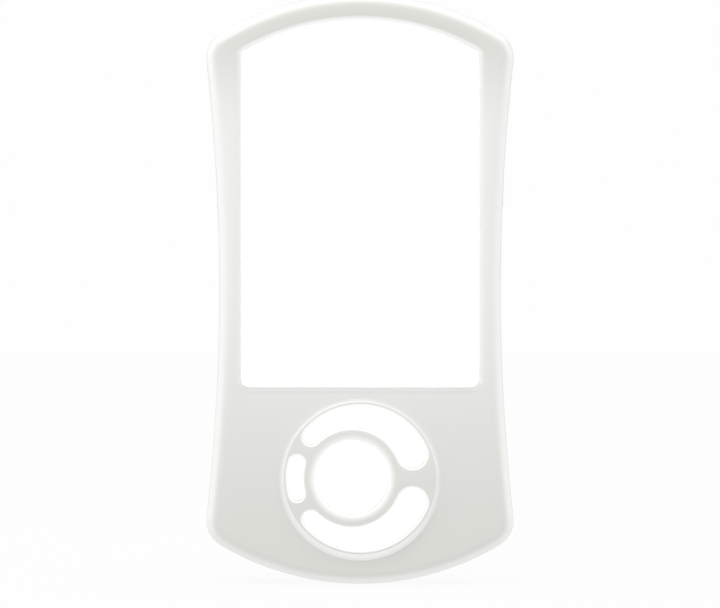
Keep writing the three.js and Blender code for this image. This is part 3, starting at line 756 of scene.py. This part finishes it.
def crowned(_, y):
    """Height of the front cover's face."""
    return FACE - y**2 / (2 * CROWN_RADIUS)


def below(surface, drop):
    """The height function of a surface, lowered by drop."""
    return lambda x, y: surface(x, y) - drop


def flank_height(x, y):
    """Height of the pad's flank."""
    return PAD_TOP + FLANK_TOP - math.hypot(x, y - PAD_Y)


def pad_foot():
    """Angles round the pad, and the radius there where its flank meets the crowned face."""
    angles = np.linspace(0, 2 * math.pi, PAD_POINTS + 1)[:-1]
    radius = np.full(angles.shape, PAD_FLAT)
    for _ in range(8):  # each round brings the radius closer to where the two surfaces meet
        y = PAD_Y + radius * np.sin(angles)
        radius = FLANK_TOP + PAD_TOP - crowned(0, y)
    return angles, radius


def pad_rings(shell):
    """The raised pad's edge; returns the ring on the face and the ring on the pad's top."""
    angles, foot = pad_foot()
    turn = np.column_stack([np.cos(angles), np.sin(angles)])
    middle = np.array([0, PAD_Y])
    rings = []
    for share in (1, 0.5, 0.2):
        loop = middle + turn * (foot + PAD_FILLET * share)[:, None]
        lift = PAD_FILLET / 2 * (1 - share) ** 2
        rings.append(shell.ring(loop, lambda x, y: crowned(x, y) + lift))
    for share in (0.85, 0.6):
        radius = FLANK_TOP + (foot - FLANK_TOP) * share
        loop = middle + turn * radius[:, None]
        rings.append(shell.ring(loop, flank_height))
    for angle in np.linspace(math.pi / 4, 0, 6):
        radius = PAD_FLAT + PAD_ROUND * math.sin(angle)
        height = PAD_TOP - PAD_ROUND * (1 - math.cos(angle))
        rings.append(shell.ring(middle + turn * radius, height))
    for low, high in zip(rings, rings[1:]):
        shell.strip(low, high)
    return rings[0], rings[-1]


def window_lip_light_and_shade(places, normals):
    """Painted light on the window's lip above the opening, a little at its sides, painted shade
    below it.
    """
    gap = clearance(places, window_outline())
    near = np.clip(1 - gap / WINDOW_LIP[0], 0, 1)
    upper = np.clip((LIP_FADE[0] - gap) / (LIP_FADE[0] - LIP_FADE[1]), 0, 1)
    upper = upper**2 * (3 - 2 * upper)
    tilt = np.maximum(np.hypot(normals[:, 0], normals[:, 2]), 1e-6)
    to_top = np.clip(-normals[:, 2] / tilt, 0, 1)
    to_foot = np.clip(normals[:, 2] / tilt, 0, 1)
    to_side = 1 - to_top - to_foot
    return upper * to_top + near * (LIP_SIDE * to_side + LIP_FOOT * to_foot)


def key_lip_painted_light(places):
    """Painted light on the lips of the key openings, palest at the opening."""
    marks = np.zeros(len(places))
    for name, outline in KEY_OUTLINES.items():
        reach = (HUB_LIP if name == "centre" else PAD_LIP)[0]
        marks = np.maximum(marks, 1 - clearance(places, outline()) / reach)
    return marks


def flank_painted_light(places, heights, normals):
    """Painted light on the pad's flank, paler than the face and palest where it looks down."""
    radius = np.hypot(places[:, 0], places[:, 1] - PAD_Y)
    raised = heights - crowned(0, places[:, 1]) > FLANK_RISE
    on_flank = raised & (radius > PAD_FLAT + PAD_ROUND / 2) & (radius < PAD_REACH)
    share = np.clip(-normals[:, 2], 0, 1) * math.sqrt(2)
    return on_flank * (FLANK_UP + (FLANK_DOWN - FLANK_UP) * share)


def paint_lip_light_and_shade(cover):
    """Writes the painted light and shade of the lips and the flank onto the cover's points."""
    vertices = cover.data.vertices
    places = np.array([(v.co.x / MM, v.co.z / MM) for v in vertices])
    heights = np.array([-v.co.y / MM for v in vertices])
    normals = np.array([tuple(v.normal) for v in vertices])
    pad_painted_light = np.maximum(key_lip_painted_light(places), flank_painted_light(places, heights, normals))
    attribute = cover.data.attributes.new(LIP_LIGHT_AND_SHADE, "FLOAT", "POINT")
    attribute.data.foreach_set("value", window_lip_light_and_shade(places, normals) + pad_painted_light)


def cover_tab(shell, x, y):
    """A tab inside the front cover's wall, which sits in a groove of the frame."""
    half_x, half_y = (TAB["reach"], TAB["side"]) if x else (TAB["end"], TAB["reach"])
    edge = TAB["edge"]
    centred = rounded_rectangle(half_x, half_y, 2 * edge)
    low, high = FRONT_SEAM, FRONT_SEAM + TAB["height"]
    steps = [(-edge, low), (0, low + edge), (0, high - edge), (-edge, high)]
    foot, top = shell.stack(lambda grow: centred(grow) + np.array([x, y]), steps)
    shell.region(foot)
    shell.region(top)


def front_cover():
    """The white cover: rounded rim, window and key openings with rolled lips, raised pad."""
    shell = Shell()
    rim = [(COVER_WALL, FRONT_SEAM), (SEAM_ROUND, FRONT_SEAM), (0, FRONT_SEAM + SEAM_ROUND)]
    rim += [(w, below(crowned, d)) for w, d in rounding(FRONT_RIM, RIM_STEPS)]
    inner_foot, face_edge = shell.stack(case_outline, rim)
    inner_top = shell.ring(case_outline(COVER_WALL), COVER_UNDERSIDE)
    shell.strip(inner_foot, inner_top)

    lip = [(0, COVER_UNDERSIDE)]
    lip += [(w, below(crowned, d)) for w, d in rounding(WINDOW_LIP)]
    window_low, window_high = shell.stack(window_outline, lip)
    pad_low, pad_high = pad_rings(shell)
    shell.region(face_edge, [window_high, pad_low], crowned)

    lows, highs = [], []
    for name, outline in KEY_OUTLINES.items():
        opening_lip = HUB_LIP if name == "centre" else PAD_LIP
        steps = [(0, COVER_UNDERSIDE)]
        steps += [(w, PAD_TOP - d) for w, d in rounding(opening_lip, 5)]
        low, high = shell.stack(outline, steps)
        lows.append(low)
        highs.append(high)
    shell.region(pad_high, highs)
    shell.region(inner_top, [window_low, *lows])
    for x, y in TABS:
        cover_tab(shell, x, y)
    cover = shell.build("front_cover_shell", "front_cover", COVER_PLASTIC)
    paint_lip_light_and_shade(cover)
    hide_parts("front_cover")


def front_key(name, outline):
    """A lit key: flange, straight wall and a soft top that dips in the middle of the round key."""
    shell = Shell()
    spread, low, high = KEY_FLANGE
    steps = [(spread, low), (spread, high), (-KEY_GAP, high)]
    steps += [(-KEY_GAP - w, KEY_TOP - d) for w, d in rounding(KEY_ROUND)]
    foot, top = shell.stack(outline, steps)
    shell.region(foot)
    if name == "centre":
        reach = HUB_HOLE - KEY_GAP - KEY_ROUND[0]

        def dished(x, y):
            share = math.hypot(x - HUB_X, y - PAD_Y) / reach
            return KEY_TOP - KEY_DISH * (1 - share**2)

        shell.region(top, (), dished, DISH_STEP)
    else:
        shell.region(top)
    key = shell.build(f"{name}_key_cap", f"{name}_key", KEY_PLASTIC)
    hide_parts(f"{name}_key")


def screw_head(number):
    """A pan-head screw with a cross recess, in one corner of the rear cover."""
    low, high = lying_box(f"case_screw_{number}")
    x, y, _ = (low + high) / 2
    head_radius = (high[0] - low[0]) / 2
    top, bottom = low[2], high[2]
    under = top + SCREW["head"]
    chamfer = SCREW["chamfer"]
    shell = Shell()
    dome = [(-inset, top + drop) for inset, drop in SCREW_DOME]
    face, neck = shell.stack(circle(0, 0, head_radius), [*dome, (0, under)])
    thread = [(0, under), (0, bottom - chamfer), (-chamfer, bottom)]
    thread_top, tip = shell.stack(circle(0, 0, SCREW["shank"]), thread)
    recess = [(0, top), (-CROSS["draft"], top + CROSS["depth"])]
    cross = cross_outline(CROSS["reach"], CROSS["half_width"])
    recess_top, recess_floor = shell.stack(cross, recess)
    shell.region(face, [recess_top])
    shell.region(recess_floor)
    shell.region(neck, [thread_top])
    shell.region(tip)
    node = f"case_screw_{number}"
    screw = shell.build(
        f"{node}_body", "case", STEEL, lambda a, b, h: upright(x + a, y + b, h)
    )
    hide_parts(node)


def rear_cover():
    """The back: rolled rim, flat middle and four counterbored screw holes."""
    shell = Shell()
    rim = rounding(REAR_RIM, RIM_STEPS)[::-1]
    rim += [(0, REAR_SEAM - SEAM_ROUND), (SEAM_ROUND, REAR_SEAM), (COVER_WALL, REAR_SEAM)]
    rim += [(COVER_WALL, REAR_FLOOR)]
    flat, floor = shell.stack(case_outline, rim)
    wider, depth = COUNTERBORE["wider"], COUNTERBORE["depth"]
    bore = [(wider + more, drop) for more, drop in COUNTERBORE_MOUTH]
    bore += [(wider, depth), (0, depth), (0, REAR_SEAM)]
    boss = [(0, REAR_SEAM), (0, REAR_FLOOR)]
    outer, inner = [], []
    for number in range(1, 5):
        x, y, _ = sum(lying_box(f"case_screw_{number}")) / 2
        mouth, end = shell.stack(circle(x, y, BORE_RADIUS), bore)
        boss_top, boss_foot = shell.stack(circle(x, y, BOSS_RADIUS), boss)
        shell.region(boss_top, [end])
        outer.append(mouth)
        inner.append(boss_foot)
    shell.region(flat, outer)
    shell.region(floor, inner)
    cover = shell.build("rear_cover_shell", "case", COVER_PLASTIC)
    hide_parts("rear_cover")


def sideways(y, h):
    """Places a piece that is drawn looking at the player's side: a along y, b along h."""

    def place(a, b, x):
        return upright(x, y + a, h + b)

    return place


def side_key(name):
    """A volume key: a crowned bar on a flange inside the frame's wall."""
    low, high = lying_box(f"{name}_key")
    _, y, h = (low + high) / 2
    _, flange_y, flange_h = (high - low) / 2
    inner, outer = low[0], high[0]
    half_y, half_h = flange_y - SIDE_KEY["margin_y"], flange_h - SIDE_KEY["margin_h"]
    width, step = SIDE_FLANGE["width"], inner + SIDE_FLANGE["thickness"]
    shell = Shell()
    steps = [(width, inner), (width, step), (0, step), (0, outer - SIDE_KEY_ROUND[1])]
    steps += [(-w, outer - d) for w, d in rounding(SIDE_KEY_ROUND)]
    foot, top = shell.stack(rounded_rectangle(half_y, half_h, SIDE_KEY["corner"]), steps)
    shell.region(foot)
    shell.region(top)
    key = shell.build(f"{name}_key_cap", f"{name}_key", SIDE_KEY_PLASTIC, sideways(y, h))
    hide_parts(f"{name}_key")


def hold_slider():
    """The hold slider: a ridged thumb pad outside the frame, a neck and a fork for the lever."""
    low, high = lying_box("hold_slider")
    _, y, h = (low + high) / 2
    _, reach_y, reach_h = (high - low) / 2
    outer, fork_tip = low[0], high[0]
    pad_back, fork_back = outer + HOLD_PAD["thickness"], fork_tip - FORK_DEPTH
    edge, pitch = HOLD_PAD["edge"], HOLD_GROOVES["pitch"]

    def ridged(a, b):
        fade_h = min(1, max(0, (reach_h - edge - abs(b)) / HOLD_GROOVES["fade_h"]))
        fade_y = min(1, max(0, (3 * pitch - abs(a)) / HOLD_GROOVES["fade_y"]))
        wave = (1 - math.cos(2 * math.pi * a / pitch)) / 2
        return outer + HOLD_GROOVES["depth"] * wave * fade_h * fade_y

    shell = Shell()
    steps = [(0, pad_back), *((-w, outer + d) for w, d in rounding((edge, edge), 4))]
    pad = rounded_rectangle(reach_y, reach_h, HOLD_PAD["corner"])
    pad_foot, pad_edge = shell.stack(pad, steps)
    shell.region(pad_edge, (), ridged, GROOVE_STEP)
    neck = [(0, pad_back), (0, fork_back)]
    neck_top, neck_foot = shell.stack(rounded_rectangle(*HOLD_NECK), neck)
    fork = [(0, fork_back), (0, fork_tip)]
    fork_top, fork_end = shell.stack(rounded_rectangle(*HOLD_FORK), fork)
    slot = [(0, fork_tip), (0, fork_back + FORK_FLOOR)]
    slot_mouth, slot_floor = shell.stack(rounded_rectangle(*HOLD_SLOT), slot)
    shell.region(pad_foot, [neck_top])
    shell.region(fork_top, [neck_foot])
    shell.region(fork_end, [slot_mouth])
    shell.region(slot_floor)
    slider = shell.build("hold_slider_pad", "hold_slider", SIDE_KEY_PLASTIC, sideways(y, h))
    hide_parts("hold_slider")


# ---- Studio -------------------------------------------------------------------------------------


def camera_ray_mix(tree, seen, others):
    """Mixes two shaders: one for what the camera sees, one for the light on the object."""
    path = tree.nodes.new("ShaderNodeLightPath")
    mix = tree.nodes.new("ShaderNodeMixShader")
    tree.links.new(path.outputs["Is Camera Ray"], mix.inputs["Fac"])
    tree.links.new(others, mix.inputs[1])
    tree.links.new(seen, mix.inputs[2])
    return mix.outputs["Shader"]


def light_tent():
    """A white tent with soft boxes beside and above the player; the camera sees plain white."""
    world = bpy.data.worlds.new("light_tent")
    bpy.context.scene.world = world
    world.use_nodes = True
    tree = world.node_tree
    nodes, links = tree.nodes, tree.links
    coords = nodes.new("ShaderNodeTexCoord")
    split = nodes.new("ShaderNodeSeparateXYZ")
    links.new(coords.outputs["Generated"], split.inputs["Vector"])
    x, _, z = split.outputs

    def calculate(operation, first, second):
        node = nodes.new("ShaderNodeMath")
        node.operation = operation
        for socket, value in zip(node.inputs, (first, second)):
            if isinstance(value, (int, float)):
                socket.default_value = value
            else:
                links.new(value, socket)
        return node.outputs[0]

    def soft_box(toward, strength):
        focused = calculate("POWER", calculate("MAXIMUM", toward, 0.0), TENT["focus"])
        return calculate("MULTIPLY", focused, strength)

    total = TENT["fill"]
    boxes = ((calculate("MULTIPLY", x, -1.0), "left"), (x, "right"), (z, "above"))
    for toward, side in boxes:
        total = calculate("ADD", soft_box(toward, TENT[side]), total)
    glow = nodes["Background"]
    links.new(total, glow.inputs["Strength"])
    glow.inputs["Color"].default_value = (1, 1, 1, 1)
    seen = nodes.new("ShaderNodeBackground")
    seen.inputs["Color"].default_value = (1, 1, 1, 1)
    seen.inputs["Strength"].default_value = PAPER_WHITE
    shader = camera_ray_mix(tree, seen.outputs["Background"], glow.outputs["Background"])
    links.new(shader, nodes["World Output"].inputs["Surface"])


def floor():
    """A pale floor that the player stands on; it lights the lower rim and takes a faint shadow."""
    mesh = bpy.data.meshes.new("floor")
    far, z = FLOOR["half_width"], -HEIGHT / 2 * MM - FLOOR["gap"]
    corners = [(-far, -far, z), (far, -far, z), (far, far, z), (-far, far, z)]
    mesh.from_pydata(corners, [], [(0, 1, 2, 3)])
    add_object("floor", mesh)
    material = bpy.data.materials.new("floor")
    material.use_nodes = True
    tree = material.node_tree
    tree.nodes.remove(tree.nodes["Principled BSDF"])

    def emission(strength):
        node = tree.nodes.new("ShaderNodeEmission")
        node.inputs["Strength"].default_value = strength
        return node.outputs["Emission"]

    shaded = tree.nodes.new("ShaderNodeBsdfDiffuse")
    shaded.inputs["Color"].default_value = (FLOOR["shadow"],) * 3 + (1,)
    seen = tree.nodes.new("ShaderNodeAddShader")
    tree.links.new(emission(FLOOR["glow"]), seen.inputs[0])
    tree.links.new(shaded.outputs["BSDF"], seen.inputs[1])
    mixed = camera_ray_mix(tree, seen.outputs["Shader"], emission(FLOOR["bounce"]))
    tree.links.new(mixed, tree.nodes["Material Output"].inputs["Surface"])
    mesh.materials.append(material)


def upper_lamp():
    """A square soft lamp above the player and to its left, aimed at the middle of the face."""
    light = bpy.data.lights.new("upper_lamp", "AREA")
    light.size = LAMP["size"]
    light.energy = LAMP["power"]
    obj = add_object("upper_lamp", light)
    obj.visible_camera = False
    obj.location = LAMP["place"]
    obj.rotation_euler = (-Vector(LAMP["place"])).to_track_quat("-Z", "Y").to_euler()


def camera():
    """A long lens square to the face; the top edge runs out of the picture."""
    data = bpy.data.cameras.new("camera")
    data.lens = CAMERA["lens"]
    data.clip_start = 0.01
    data.clip_end = 20
    obj = add_object("camera", data)
    obj.location = (0, -FACE * MM - CAMERA["distance"], CAMERA["height"])
    obj.rotation_euler = (math.pi / 2, 0, 0)
    bpy.context.scene.camera = obj


dress_cad_nodes()
front_cover()
rear_cover()
for key_name, key_outline in KEY_OUTLINES.items():
    front_key(key_name, key_outline)
for key_name in ("volume_up", "volume_down"):
    side_key(key_name)
hold_slider()
for screw_number in range(1, 5):
    screw_head(screw_number)
light_tent()
floor()
upper_lamp()
camera()
bpy.context.scene.view_settings.view_transform = "Standard"
